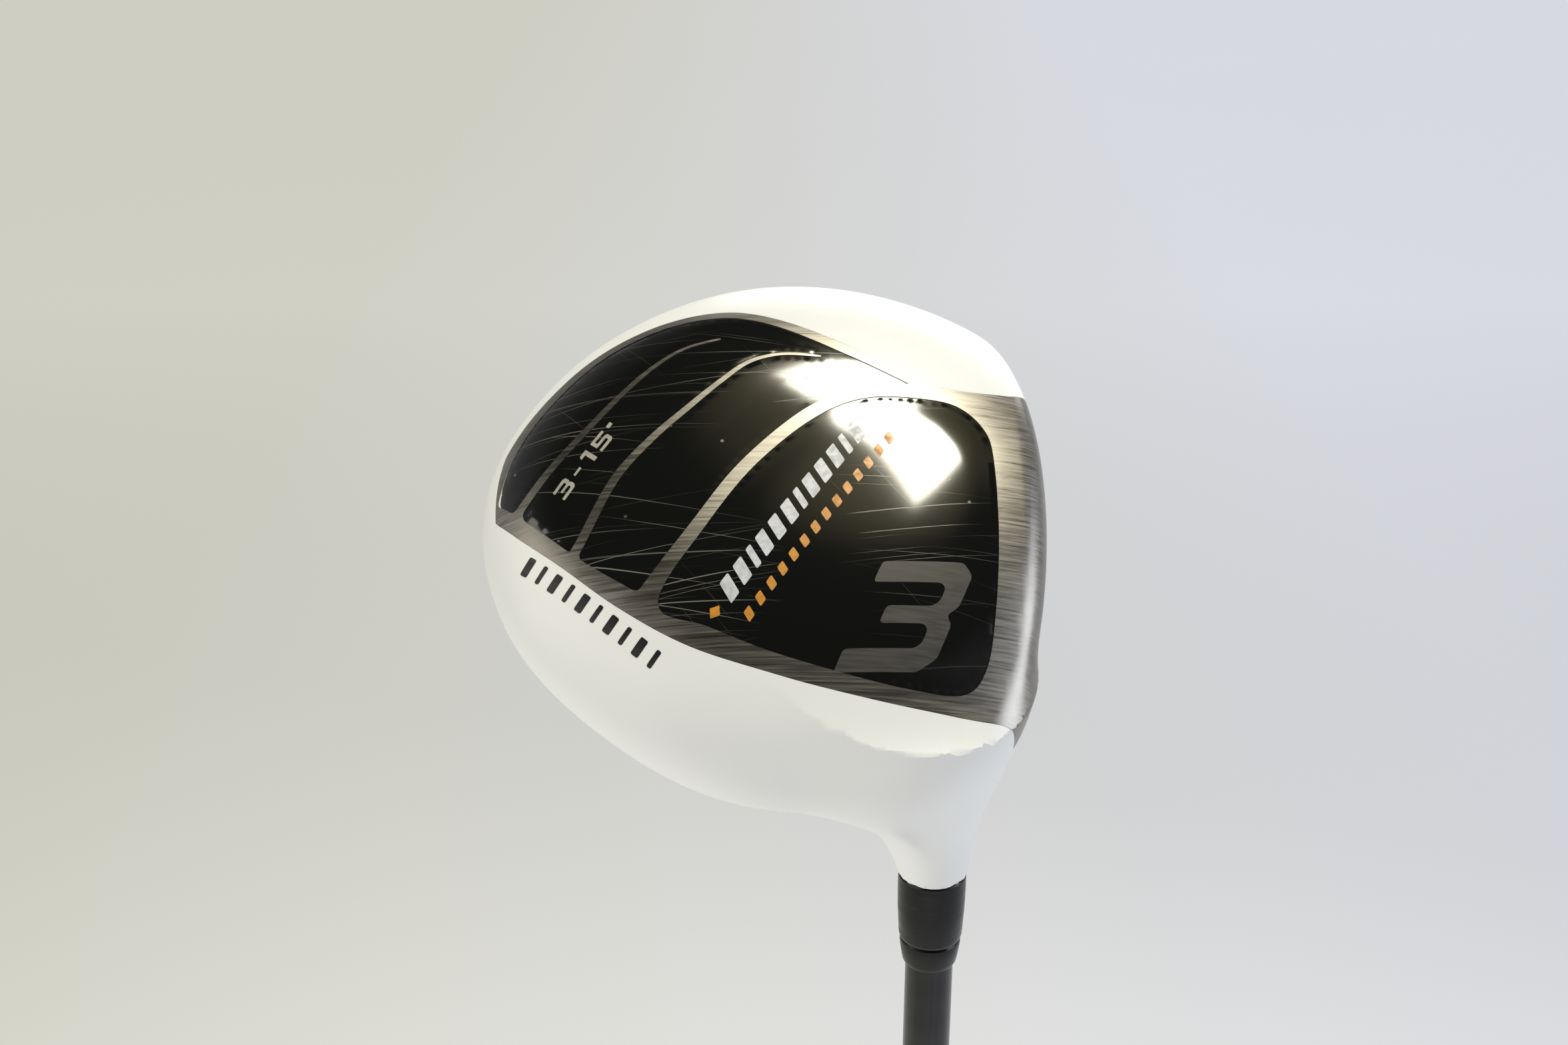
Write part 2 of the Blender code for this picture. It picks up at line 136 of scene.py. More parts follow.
# Printed marks: outlines in a unit box
MARK_RISE = 0.035
DIGIT_3 = [(0.0, 1.0), (0.0, 0.8), (0.72, 0.8), (0.78, 0.75), (0.78, 0.63), (0.72, 0.58),
           (0.25, 0.58), (0.25, 0.42), (0.72, 0.42), (0.78, 0.37), (0.78, 0.25), (0.72, 0.2),
           (0.0, 0.2), (0.0, 0.0), (0.85, 0.0), (1.0, 0.12), (1.0, 0.42), (0.91, 0.5),
           (1.0, 0.58), (1.0, 0.88), (0.85, 1.0)]
DIGIT_5 = [(0.0, 1.0), (0.0, 0.42), (0.72, 0.42), (0.78, 0.36), (0.78, 0.26), (0.72, 0.2),
           (0.0, 0.2), (0.0, 0.0), (0.85, 0.0), (1.0, 0.12), (1.0, 0.5), (0.85, 0.6),
           (0.22, 0.6), (0.22, 0.8), (1.0, 0.8), (1.0, 1.0)]
DIGIT_1 = [(0.15, 1.0), (0.0, 0.78), (0.55, 0.78), (0.55, 0.0), (1.0, 0.0), (1.0, 1.0)]
DASH = [(0.0, 0.58), (0.0, 0.42), (1.0, 0.42), (1.0, 0.58)]
DEGREE = [(0.0, 0.95), (0.0, 0.7), (1.0, 0.7), (1.0, 0.95)]
SKIRT_ROW = ((10.0, -71.0), (-20.5, 23.5), (2.3, 1.9))

# Shaft and grip, in millimetres
TIP_RADIUS = 4.25
TIP_STRAIGHT = 75.0
GRIP_LEVELS = (3.9, 30.0, 90.0, 180.0, 262.0, 268.0)
GRIP_RADII = (13.4, 13.0, 12.0, 10.8, 9.4, 8.8)
TREAD_BAND = (16.0, 252.0)
TREAD_TURNS = 12.0
TREAD_PITCH = 0.55
TREAD_DEPTH = 0.35

# Camera: tilt below level, and its place by the shaft's axis and above the hosel's end, in metres
CAMERA_TILT = math.radians(24.5)
CAMERA_LENS = 45.9
CAMERA_PLACE = (-0.02595, -0.29311, 0.2005)

# Stage
KEY_SIDE = (0.20, 0.18, 0.96)
GLOW_COLOUR = (1.7, 1.45, 0.75)
GLOW_START = 0.945
WORLD_STRENGTH = 0.5
# Painted light on the floor: it glows, tinted warm to the left and cool to the right, dimmer near
# the front and brighter further back
FLOOR_LEFT_PAINTED_LIGHT = (0.80, 0.80, 0.72)
FLOOR_RIGHT_PAINTED_LIGHT = (0.88, 0.91, 1.0)
FLOOR_PAINTED_GLOW = 0.62
FLOOR_PAINTED_FALLOFF = 0.55

HOSEL_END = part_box("ferrule_collar")[1].z + GAP * MM
GROUND_POINT = HOSEL_END + HOSEL_TOP * MM
HEAD_PLACE = Matrix((
    (0.0, 1.0, 0.0, 0.0),
    (math.sin(LIE), 0.0, math.cos(LIE), 0.0),
    (math.cos(LIE), 0.0, -math.sin(LIE), GROUND_POINT),
    (0.0, 0.0, 0.0, 1.0)))


# ---------------------------------------------------------------- camera

def build_camera():
    data = bpy.data.cameras.new("camera")
    data.sensor_width = 36.0
    data.lens = CAMERA_LENS
    data.clip_start = 0.01
    camera = bpy.data.objects.new("camera", data)
    bpy.context.scene.collection.objects.link(camera)
    camera.location = (CAMERA_PLACE[0], CAMERA_PLACE[1], HOSEL_END + CAMERA_PLACE[2])
    camera.rotation_euler = (math.pi / 2.0 - CAMERA_TILT, 0.0, 0.0)
    bpy.context.scene.camera = camera


# ---------------------------------------------------------------- the head's field

def outline_radius(angle):
    """Radius of the head's outline at these angles, a periodic cubic through OUTLINE."""
    radii, count = np.array(OUTLINE), len(OUTLINE)
    place = angle / (2.0 * math.pi) * count % count
    k = place.astype(int) % count
    t = place - np.floor(place)
    a, b, c, d = (radii[(k + j) % count] for j in (-1, 0, 1, 2))
    return 0.5 * (2 * b + (c - a) * t + (2 * a - 5 * b + 4 * c - d) * t * t
                  + (3 * b - a - 3 * c + d) * t ** 3)


def blend_min(a, b, reach):
    """The lower of two fields, rounded over where they lie within reach of each other."""
    h = np.clip(0.5 + 0.5 * (b - a) / reach, 0.0, 1.0)
    return b * (1.0 - h) + a * h - reach * h * (1.0 - h)


def blend_max(a, b, reach):
    return -blend_min(-a, -b, reach)


def face_line(x, z):
    """Place of the face along the line of flight: loft, bulge, roll and a drawn-back heel."""
    heel = np.clip(FACE_HEEL - x, 0.0, None)
    return (FACE_FRONT - (x - FACE_MIDDLE) ** 2 / (2.0 * BULGE) - (z - FACE_LOW) * math.tan(LOFT)
            - (z - FACE_MID_HEIGHT) ** 2 / (2.0 * ROLL) - HEEL_DRAW * heel ** 2)


def head_field(p):
    """Below zero inside the head and hosel, above zero outside; p is an array of points."""
    x, y, z = p[..., 0], p[..., 1], p[..., 2]
    dx, dy = x - HEAD_CENTRE[0], y - HEAD_CENTRE[1]
    reach = np.hypot(dx, dy) / outline_radius(np.arctan2(dy, dx))
    down = np.clip((EQUATOR - z) / EQUATOR, 0.0, None)
    up = np.clip((z - EQUATOR) / CROWN_RISE, 0.0, None)
    sole = (down ** SOLE_POWER[1] + reach ** SOLE_POWER[0]) ** (1.0 / SOLE_POWER[0])
    crown = (up ** CROWN_POWER[1] + reach ** CROWN_POWER[0]) ** (1.0 / CROWN_POWER[0])
    pillow = (np.where(z < EQUATOR, sole, crown) - 1.0) * 30.0
    body = blend_max(pillow, (y - face_line(x, z)) * math.cos(LOFT), EDGE_BLEND)
    along = -math.cos(LIE) * x + math.sin(LIE) * z
    below = np.clip(HOSEL_TOP - along, 0.0, None) / NECK_REACH
    flare = NECK_FLARE * (1.0 - np.exp(-below ** 1.5))
    aside = np.sqrt((x + along * math.cos(LIE)) ** 2 + (y + NECK_REARWARD * flare) ** 2
                    + (z - along * math.sin(LIE)) ** 2)
    hosel = np.maximum(aside - HOSEL_RADIUS - flare, HOSEL_START - along)
    return blend_max(blend_min(body, hosel, NECK_BLEND), along - HOSEL_TOP, 0.8)


def slope(field, p, step=0.04):
    """Gradient of the field at the points."""
    result = np.empty_like(p)
    for axis in range(3):
        shift = np.zeros(3)
        shift[axis] = step
        result[..., axis] = (field(p + shift) - field(p - shift)) / (2.0 * step)
    return result


def settle(field, p, rounds=4, most=1.0):
    """Moves points onto the field's zero surface."""
    for _ in range(rounds):
        g = slope(field, p)
        move = -(field(p) / np.maximum((g ** 2).sum(-1), 1e-9))[..., None] * g
        size = np.linalg.norm(move, axis=-1, keepdims=True)
        p = p + move * np.minimum(1.0, most / np.maximum(size, 1e-9))
    return p


def net_surface(field, low, high, cell):
    """Points and four-sided faces of the field's zero surface on a grid (surface nets)."""
    axes = [np.arange(a, b + cell, cell) for a, b in zip(low, high)]
    grid = np.stack(np.meshgrid(*axes, indexing="ij"), -1)
    value = field(grid)
    inside = value < 0.0
    cells = tuple(n - 1 for n in value.shape)
    total, hits = np.zeros(cells + (3,)), np.zeros(cells)
    edges = []
    for axis in range(3):
        first, second = [slice(None)] * 3, [slice(None)] * 3
        first[axis], second[axis] = slice(0, -1), slice(1, None)
        first, second = tuple(first), tuple(second)
        crossed = inside[first] != inside[second]
        a, b = value[first], value[second]
        part = np.where(crossed, a / np.where(crossed, a - b, 1.0), 0.0)
        point = grid[first].copy()
        point[..., axis] += part * cell
        others = [k for k in range(3) if k != axis]
        for i in (0, 1):
            for j in (0, 1):
                pick = [slice(None)] * 3
                pick[others[0]] = slice(i, cells[others[0]] + i)
                pick[others[1]] = slice(j, cells[others[1]] + j)
                pick = tuple(pick)
                total += np.where(crossed[pick][..., None], point[pick], 0.0)
                hits += crossed[pick]
        edges.append((crossed, inside[first]))
    used = hits > 0
    number = np.full(cells, -1)
    number[used] = np.arange(used.sum())
    points = total[used] / hits[used][:, None]
    faces = []
    for axis, (crossed, solid_side) in enumerate(edges):
        b, c = (axis + 1) % 3, (axis + 2) % 3
        where = np.argwhere(crossed)
        keep = (where[:, b] > 0) & (where[:, c] > 0)
        keep &= (where[:, b] < cells[b]) & (where[:, c] < cells[c])
        where = where[keep]
        corners = []
        for i, j in ((-1, -1), (0, -1), (0, 0), (-1, 0)):
            cell_index = where.copy()
            cell_index[:, b] += i
            cell_index[:, c] += j
            corners.append(number[tuple(cell_index.T)])
        quad = np.stack(corners, 1)
        flip = ~solid_side[tuple(where.T)]
        quad[flip] = quad[flip][:, ::-1]
        faces.append(quad)
    return points, np.concatenate(faces)


# ---------------------------------------------------------------- mesh helpers

def new_object(name, points, faces, materials=()):
    """A mesh object from points in metres."""
    mesh = bpy.data.meshes.new(name)
    mesh.from_pydata([tuple(p) for p in points], [], [tuple(int(i) for i in f) for f in faces])
    mesh.update()
    item = bpy.data.objects.new(name, mesh)
    bpy.context.scene.collection.objects.link(item)
    for look in materials:
        mesh.materials.append(look)
    return item


def head_object(name, points, faces, materials=()):
    """A mesh object from points in millimetres in the head's frame."""
    return new_object(name, np.asarray(points) * MM, faces, materials)


def outward(item):
    """Turns every face of a closed mesh to face out."""
    shape = bmesh.new()
    shape.from_mesh(item.data)
    bmesh.ops.recalc_face_normals(shape, faces=shape.faces)
    shape.to_mesh(item.data)
    shape.free()
    return item


def copy_of(item, name, lift=0.0):
    """A copy of a head object, raised by lift millimetres."""
    twin = bpy.data.objects.new(name, item.data.copy())
    bpy.context.scene.collection.objects.link(twin)
    twin.data.transform(Matrix.Translation((0.0, 0.0, lift * MM)))
    return twin


def combine(item, tool, how, keep_tool=False):
    """Applies a Boolean of tool to item; the tool is deleted unless it is kept."""
    cut = item.modifiers.new("cut", "BOOLEAN")
    cut.operation = how
    cut.solver = "EXACT"
    cut.object = tool
    ready = item.evaluated_get(bpy.context.evaluated_depsgraph_get())
    mesh = bpy.data.meshes.new_from_object(ready)
    item.modifiers.clear()
    item.data = mesh
    if not keep_tool:
        bpy.data.objects.remove(tool, do_unlink=True)
    return item


def stacked(name, rings):
    """Joins rings of equal count into a closed solid with flat caps, in millimetres."""
    count = len(rings[0])
    points = [p for ring in rings for p in ring]
    faces = []
    for row in range(len(rings) - 1):
        for k in range(count):
            a, b = row * count + k, row * count + (k + 1) % count
            faces.append((a, b, b + count, a + count))
    faces.append(tuple(range(count)))
    faces.append(tuple(range((len(rings) - 1) * count, len(rings) * count)))
    return outward(head_object(name, points, faces))


def plan_prism(name, loop, low=-5.0, high=18.0):
    """An upright prism over a plan loop."""
    return stacked(name, [[(p[0], p[1], z) for p in loop] for z in (low, high)])


def face_prism(name, loop, near, far):
    """A prism along the line of flight, over a loop of (x, z) points."""
    return stacked(name, [[(p[0], y, p[1]) for p in loop] for y in (near, far)])


def smooth_curve(points, closed=True, steps=8):
    """A curve through the points (Catmull-Rom), as an array."""
    points = np.array(points, float)
    count = len(points)
    spans = count if closed else count - 1
    pick = (lambda k: points[k % count]) if closed else (
        lambda k: points[min(max(k, 0), count - 1)])
    line = []
    for k in range(spans):
        a, b, c, d = (pick(k + j) for j in (-1, 0, 1, 2))
        for step in range(steps):
            t = step / steps
            line.append(0.5 * (2 * b + (c - a) * t + (2 * a - 5 * b + 4 * c - d) * t * t
                               + (3 * b - a - 3 * c + d) * t ** 3))
    if not closed:
        line.append(points[-1])
    return np.array(line)


def even_loop(loop, spacing):
    """The closed loop with its points evenly spaced."""
    closed = np.vstack([loop, loop[:1]])
    reach = np.concatenate([[0.0], np.cumsum(np.linalg.norm(np.diff(closed, axis=0), axis=1))])
    count = max(8, int(round(reach[-1] / spacing)))
    at = np.linspace(0.0, reach[-1], count, endpoint=False)
    return np.stack([np.interp(at, reach, closed[:, k]) for k in (0, 1)], 1)


def rounded_loop(loop, spacing, passes):
    """The closed loop with its corners eased."""
    loop = even_loop(loop, spacing)
    for _ in range(passes):
        loop = 0.5 * loop + 0.25 * (np.roll(loop, 1, 0) + np.roll(loop, -1, 0))
    return loop


def grown(loop, amount):
    """Moves a counter-clockwise loop outward by amount."""
    along = np.roll(loop, -1, 0) - np.roll(loop, 1, 0)
    along /= np.maximum(np.linalg.norm(along, axis=1, keepdims=True), 1e-9)
    return loop + amount * np.stack([along[:, 1], -along[:, 0]], 1)


def signed_area(loop):
    x, y = loop[:, 0], loop[:, 1]
    return 0.5 * np.sum(x * np.roll(y, -1) - y * np.roll(x, -1))


def border_distance(points, loop):
    """Distance of plan points to the loop's nearest side."""
    a, b = loop, np.roll(loop, -1, 0)
    side = b - a
    length = np.maximum((side ** 2).sum(1), 1e-12)
    best = np.full(len(points), 1e9)
    for start in range(0, len(points), 4000):
        p = points[start:start + 4000, None, :]
        t = np.clip(((p - a) * side).sum(-1) / length, 0.0, 1.0)
        gap = np.linalg.norm(p - (a + t[..., None] * side), axis=-1)
        best[start:start + 4000] = gap.min(1)
    return best


def inside_loop(points, loop):
    x, y = points[:, 0], points[:, 1]
    result = np.zeros(len(points), bool)
    for (ax, ay), (bx, by) in zip(loop, np.roll(loop, -1, 0)):
        if ay == by:
            continue
        crossing = (ay > y) != (by > y)
        result ^= crossing & (x < (bx - ax) * (y - ay) / (by - ay) + ax)
    return result


def sole_height(points):
    """Height of the sole's surface over plan points."""
    low = np.full(len(points), -2.0)
    high = np.full(len(points), EQUATOR)
    for _ in range(34):
        middle = 0.5 * (low + high)
        outside = head_field(np.column_stack([points, middle])) > 0.0
        low, high = np.where(outside, middle, low), np.where(outside, high, middle)
    return 0.5 * (low + high)


def head_normals(item, field, tolerance=0.06):
    """Gives the placed mesh exact shading normals wherever it lies on the field's surface."""
    mesh = item.data
    mesh.shade_smooth()
    mesh.set_sharp_from_angle(angle=math.radians(28.0))
    count = len(mesh.loops)
    normals = np.zeros(count * 3)
    mesh.corner_normals.foreach_get("vector", normals)
    normals = normals.reshape(-1, 3)
    co = np.zeros(len(mesh.vertices) * 3)
    mesh.vertices.foreach_get("co", co)
    co = co.reshape(-1, 3) / MM
    corner = np.zeros(count, int)
    mesh.loops.foreach_get("vertex_index", corner)
    flat = np.zeros(len(mesh.polygons) * 3)
    mesh.polygons.foreach_get("normal", flat)
    totals = np.zeros(len(mesh.polygons), int)
    mesh.polygons.foreach_get("loop_total", totals)
    flat = np.repeat(flat.reshape(-1, 3), totals, axis=0)
    turn = np.array(HEAD_PLACE.to_3x3())
    co = (co - np.array(HEAD_PLACE.translation) / MM) @ turn
    g = slope(field, co)
    size = np.linalg.norm(g, axis=1, keepdims=True)
    g = g / np.maximum(size, 1e-9) @ turn.T
    near = np.abs(field(co) / np.maximum(size[:, 0], 1e-9)) < tolerance
    match = near[corner] & ((g[corner] * flat).sum(1) > 0.9)
    normals[match] = g[corner][match]
    mesh.normals_split_custom_set([tuple(n) for n in normals])


def turns_down(plan, face):
    a, b, c = plan[face[0]], plan[face[1]], plan[face[2]]
    return (b[0] - a[0]) * (c[1] - a[1]) - (b[1] - a[1]) * (c[0] - a[0]) < 0.0


def sole_patch(name, loop, materials, level, spacing=1.0, depth=0.7):
    """A thin closed piece over a plan loop, its top face following the sole.

    level(plan points) says how far the top stands proud of the sole there.
    """
    low, high = loop.min(0), loop.max(0)
    xs = np.arange(low[0] + 0.5 * spacing, high[0], spacing)
    ys = np.arange(low[1] + 0.5 * spacing, high[1], spacing * 0.866)
    mesh_x, mesh_y = np.meshgrid(xs, ys)
    mesh_x = mesh_x + (np.arange(len(ys)) % 2)[:, None] * 0.5 * spacing
    inner = np.stack([mesh_x.ravel(), mesh_y.ravel()], 1)
    inner = inner[inside_loop(inner, loop)]
    inner = inner[border_distance(inner, loop) > 0.35 * spacing]
    flat = [Vector(p) for p in loop] + [Vector(p) for p in inner]
    ring = list(range(len(loop)))
    made = delaunay_2d_cdt(flat, [], [ring], 1, 1e-6)
    plan = np.array([tuple(v) for v in made[0]])
    top = np.column_stack([plan, sole_height(plan)])
    normal = slope(head_field, top)
    normal /= np.linalg.norm(normal, axis=1, keepdims=True)
    top = top + normal * level(plan)[:, None]
    bottom = top - normal * depth
    count = len(plan)
    result = [list(f) if turns_down(plan, f) else list(f)[::-1] for f in made[2]]
    sides = {}
    for f in result:
        for k in range(len(f)):
            a, b = f[k], f[(k + 1) % len(f)]
            if (b, a) in sides:
                del sides[(b, a)]
            else:
                sides[(a, b)] = True
    back = [[i + count for i in f[::-1]] for f in result]
    walls = [(b, a, a + count, b + count) for a, b in sides]
    return head_object(name, np.vstack([top, bottom]), result + back + walls, materials)


def turned(name, profile, materials, sides=96, wobble=None):
    """A closed profile of (radius, z) points in millimetres turned about the shaft's axis."""
    count = len(profile)
    points = []
    for k in range(sides):
        angle = 2.0 * math.pi * k / sides
        for index, (r, z) in enumerate(profile):
            r = r + (wobble(angle, z, index) if wobble else 0.0)
            points.append((r * math.cos(angle) * MM, r * math.sin(angle) * MM, z * MM))
    faces = []
    for k in range(sides):
        near, far = k * count, (k + 1) % sides * count
        for row in range(count):
            nxt = (row + 1) % count
            faces.append((near + row, far + row, far + nxt, near + nxt))
    item = outward(new_object(name, points, faces, materials))
    item.data.shade_smooth()
    item.data.set_sharp_from_angle(angle=math.radians(35.0))
    return item


def place(item, slot, *nodes):
    """Puts a finished piece on the club's one body, in the place of its CAD nodes."""
    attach(item, "root")
    if nodes:
        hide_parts(*nodes)


def place_on_head(item, slot, *nodes, field=None):
    """Moves a head piece onto the shaft, with exact shading normals where it lies on field."""
    item.data.transform(HEAD_PLACE)
    if field:
        head_normals(item, field)
    place(item, slot, *nodes)


# ---------------------------------------------------------------- materials

class Look:
    """A material with a Principled shader and short calls for its nodes."""

    def __init__(self, name, colour, roughness, metallic=0.0, **sockets):
        self.material = bpy.data.materials.new(name)
        self.material.use_nodes = True
        self.tree = self.material.node_tree
        self.shader = self.tree.nodes["Principled BSDF"]
        self.shader.inputs["Base Color"].default_value = (*colour, 1.0)
        self.shader.inputs["Roughness"].default_value = roughness
        self.shader.inputs["Metallic"].default_value = metallic
        for socket, value in sockets.items():
            self.shader.inputs[socket.replace("_", " ")].default_value = value
        self.material.diffuse_color = (*colour, 1.0)
        self.height = None

    def node(self, kind, **values):
        made = self.tree.nodes.new(kind)
        for key, value in values.items():
            if hasattr(made, key):
                setattr(made, key, value)
            else:
                made.inputs[key.replace("_", " ")].default_value = value
        return made

    def join(self, source, target):
        self.tree.links.new(source, target)

    def coords(self, stretch=(1.0, 1.0, 1.0), turn=(0.0, 0.0, 0.0)):
        """World position, turned and then stretched."""
        place = self.node("ShaderNodeTexCoord")
        turned_place = self.node("ShaderNodeMapping")
        turned_place.inputs["Rotation"].default_value = turn
        self.join(place.outputs["Object"], turned_place.inputs["Vector"])
        scale = self.node("ShaderNodeMapping")
        scale.inputs["Scale"].default_value = stretch
        self.join(turned_place.outputs["Vector"], scale.inputs["Vector"])
        return scale.outputs["Vector"]

    def sole_coords(self, along, across, through=0.0, angle=0.0):
        """Position in the sole's own plane, level lines running along it."""
        return self.coords((along, across, through), (LIE - math.pi / 2.0, 0.0, angle))

    def noise(self, where, scale, detail=3.0, roughness=0.5):
        made = self.node("ShaderNodeTexNoise", Scale=scale, Detail=detail, Roughness=roughness)
        self.join(where, made.inputs["Vector"])
        return made.outputs["Fac"]

    def cells(self, where, scale):
        made = self.node("ShaderNodeTexVoronoi", feature="F1")
        made.inputs["Scale"].default_value = scale
        self.join(where, made.inputs["Vector"])
        return made

    def ramp(self, source, low, high, start=0.0, end=1.0):
        made = self.node("ShaderNodeMapRange")
        made.inputs["From Min"].default_value = low
        made.inputs["From Max"].default_value = high
        made.inputs["To Min"].default_value = start
        made.inputs["To Max"].default_value = end
        self.join(source, made.inputs["Value"])
        return made.outputs["Result"]

    def math(self, how, a, b):
        made = self.node("ShaderNodeMath", operation=how)
        for socket, value in zip(made.inputs, (a, b)):
            if isinstance(value, (int, float)):
                socket.default_value = value
            else:
                self.join(value, socket)
        return made.outputs["Value"]

    def mix(self, factor, a, b):
        made = self.node("ShaderNodeMix", data_type="RGBA")
        self.join(factor, made.inputs["Factor"])
        for socket, value in ((made.inputs[6], a), (made.inputs[7], b)):
            if isinstance(value, tuple):
                socket.default_value = (*value, 1.0)
            else:
                self.join(value, socket)
        return made.outputs[2]

    def paint(self, socket, source):
        self.join(source, self.shader.inputs[socket])

    def bump(self, source, strength, distance):
        made = self.node("ShaderNodeBump", Strength=strength, Distance=distance)
        self.join(source, made.inputs["Height"])
        if self.height is not None:
            self.join(self.height, made.inputs["Normal"])
        self.height = made.outputs["Normal"]
        self.join(self.height, self.shader.inputs["Normal"])


def white_paint():
    look = Look("white_paint", (0.82, 0.83, 0.82), 0.4, Coat_Weight=0.12, Coat_Roughness=0.2)
    where = look.coords()
    tint = look.ramp(look.noise(where, 14.0, 2.0), 0.35, 0.7)
    colour = look.mix(tint, (0.84, 0.845, 0.83), (0.815, 0.825, 0.83))
    chips = look.cells(where, 55.0)
    speck = look.ramp(chips.outputs["Distance"], 0.050, 0.035)
    rare = look.ramp(chips.outputs["Color"], 0.90, 0.92)
    ragged = look.ramp(look.noise(where, 900.0, 2.0), 0.45, 0.55)
    mark = look.math("MULTIPLY", look.math("MULTIPLY", speck, rare), ragged)
    look.paint("Base Color", look.mix(mark, colour, (0.12, 0.12, 0.12)))
    smear = look.noise(look.coords((1.0, 1.0, 6.0)), 60.0, 4.0)
    look.paint("Roughness", look.ramp(smear, 0.3, 0.8, 0.36, 0.44))
    look.bump(look.noise(where, 700.0, 1.0), 0.03, 0.0002)
    look.bump(mark, 0.4, -0.0001)
    return look.material


def brushed_steel():
    colour = (0.30, 0.282, 0.250)
    look = Look("brushed_steel", colour, 0.36, 1.0)
    brush = look.noise(look.sole_coords(50.0, 2600.0, 300.0), 1.0, 4.0, 0.65)
    broad = look.noise(look.coords((30.0, 160.0, 60.0)), 1.0, 3.0)
    dark = tuple(0.72 * c for c in colour)
    light = tuple(min(1.0, 1.22 * c) for c in colour)
    shade = look.ramp(look.math("ADD", look.math("MULTIPLY", brush, 0.7),
                                look.math("MULTIPLY", broad, 0.3)), 0.35, 0.65)
    look.paint("Base Color", look.mix(shade, dark, light))
    look.paint("Roughness", look.ramp(brush, 0.3, 0.7, 0.27, 0.45))
    look.bump(brush, 0.25, 0.00005)
    return look.material


def gloss_black():
    look = Look("gloss_black", (0.006, 0.0065, 0.006), 0.1, Coat_Weight=0.4,
                Coat_Roughness=0.07)
    scratch = None
    for angle, spread, edge in ((0.02, 6.0, 0.655), (-0.16, 9.0, 0.67), (0.24, 14.0, 0.68),
                                (0.9, 20.0, 0.71)):
        lines = look.noise(look.sole_coords(spread, 2400.0, 0.0, angle), 1.0, 2.0)
        lines = look.ramp(lines, edge, edge + 0.06)
        scratch = look.math("MAXIMUM", scratch, lines) if scratch else lines
    patches = look.ramp(look.noise(look.coords(), 30.0, 2.0), 0.40, 0.60)
    scratch = look.math("MULTIPLY", scratch, patches)
    dust = look.cells(look.coords(), 330.0)
    speck = look.math("MULTIPLY", look.ramp(dust.outputs["Distance"], 0.13, 0.07),
                      look.ramp(dust.outputs["Color"], 0.80, 0.84))
    marks = look.math("MAXIMUM", look.math("MULTIPLY", scratch, 0.8),
                      look.math("MULTIPLY", speck, 0.8))
    look.paint("Base Color", look.mix(marks, (0.006, 0.0065, 0.006), (0.22, 0.21, 0.18)))
    look.paint("Roughness", look.ramp(marks, 0.0, 0.6, 0.10, 0.42))
    look.bump(scratch, 0.12, -0.00003)
    return look.material


def etched_grey():
    look = Look("etched_grey", (0.06, 0.057, 0.05), 0.5, 0.3)
    grain = look.noise(look.coords((40.0, 2200.0, 800.0)), 1.0, 3.0)
    look.paint("Base Color", look.mix(look.ramp(grain, 0.3, 0.7), (0.045, 0.042, 0.037),
                                      (0.075, 0.07, 0.062)))
    look.paint("Roughness", look.ramp(grain, 0.3, 0.7, 0.40, 0.58))
    look.bump(grain, 0.2, 0.00004)
    return look.material


def paint_fill(name, colour):
    """Worn paint in a printed mark."""
    look = Look(name, colour, 0.35)
    wear = look.ramp(look.noise(look.coords(), 900.0, 4.0), 0.35, 0.6)
    look.paint("Base Color", look.mix(wear, tuple(0.75 * c for c in colour), colour))
    look.paint("Roughness", look.ramp(wear, 0.0, 1.0, 0.5, 0.3))
    look.bump(wear, 0.2, 0.00005)
    return look.material


def black_plastic():
    look = Look("black_plastic", (0.012, 0.012, 0.014), 0.28, Specular_IOR_Level=0.3)
    turning = look.noise(look.coords((90.0, 90.0, 2500.0)), 1.0, 3.0)
    look.paint("Roughness", look.ramp(turning, 0.3, 0.7, 0.22, 0.40))
    scuff = look.ramp(look.noise(look.coords((150.0, 150.0, 500.0)), 1.0, 4.0), 0.66, 0.74)
    look.paint("Base Color", look.mix(scuff, (0.006, 0.006, 0.007), (0.030, 0.030, 0.033)))
    look.bump(turning, 0.08, 0.00004)
    return look.material


def graphite():
    look = Look("graphite", (0.016, 0.016, 0.018), 0.24, Specular_IOR_Level=0.3,
                Coat_Weight=0.3, Coat_Roughness=0.08)
    fibre = look.noise(look.coords((1200.0, 1200.0, 12.0)), 1.0, 4.0, 0.6)
    wrap = look.noise(look.coords((20.0, 20.0, 160.0), (0.2, 0.1, 0.0)), 1.0, 2.0)
    shade = look.ramp(look.math("ADD", look.math("MULTIPLY", fibre, 0.6),
                                look.math("MULTIPLY", wrap, 0.4)), 0.38, 0.62)
    look.paint("Base Color", look.mix(shade, (0.006, 0.006, 0.007), (0.020, 0.020, 0.022)))
    look.paint("Roughness", look.ramp(fibre, 0.3, 0.7, 0.20, 0.34))
    look.bump(fibre, 0.08, 0.00003)
    return look.material


def rubber():
    look = Look("grip_rubber", (0.018, 0.018, 0.018), 0.72)
    grain = look.noise(look.coords(), 1600.0, 4.0, 0.6)
    wear = look.ramp(look.noise(look.coords(), 45.0, 3.0), 0.4, 0.7)
    look.paint("Base Color", look.mix(wear, (0.014, 0.014, 0.014), (0.034, 0.033, 0.032)))
    look.paint("Roughness", look.ramp(wear, 0.0, 1.0, 0.82, 0.60))
    look.bump(grain, 0.3, 0.0001)
    return look.material


def plain_grain(name, colour, roughness, metallic, scale):
    """A plain fine-grained material, for the pieces inside."""
    look = Look(name, colour, roughness, metallic)
    grain = look.ramp(look.noise(look.coords(), scale, 5.0), 0.35, 0.65)
    look.paint("Base Color", look.mix(grain, tuple(0.7 * c for c in colour), colour))
    look.paint("Roughness", look.ramp(grain, 0.0, 1.0, min(1.0, roughness + 0.1), roughness))
    look.bump(grain, 0.3, 0.0001)
    return look.material


# ---------------------------------------------------------------- the head

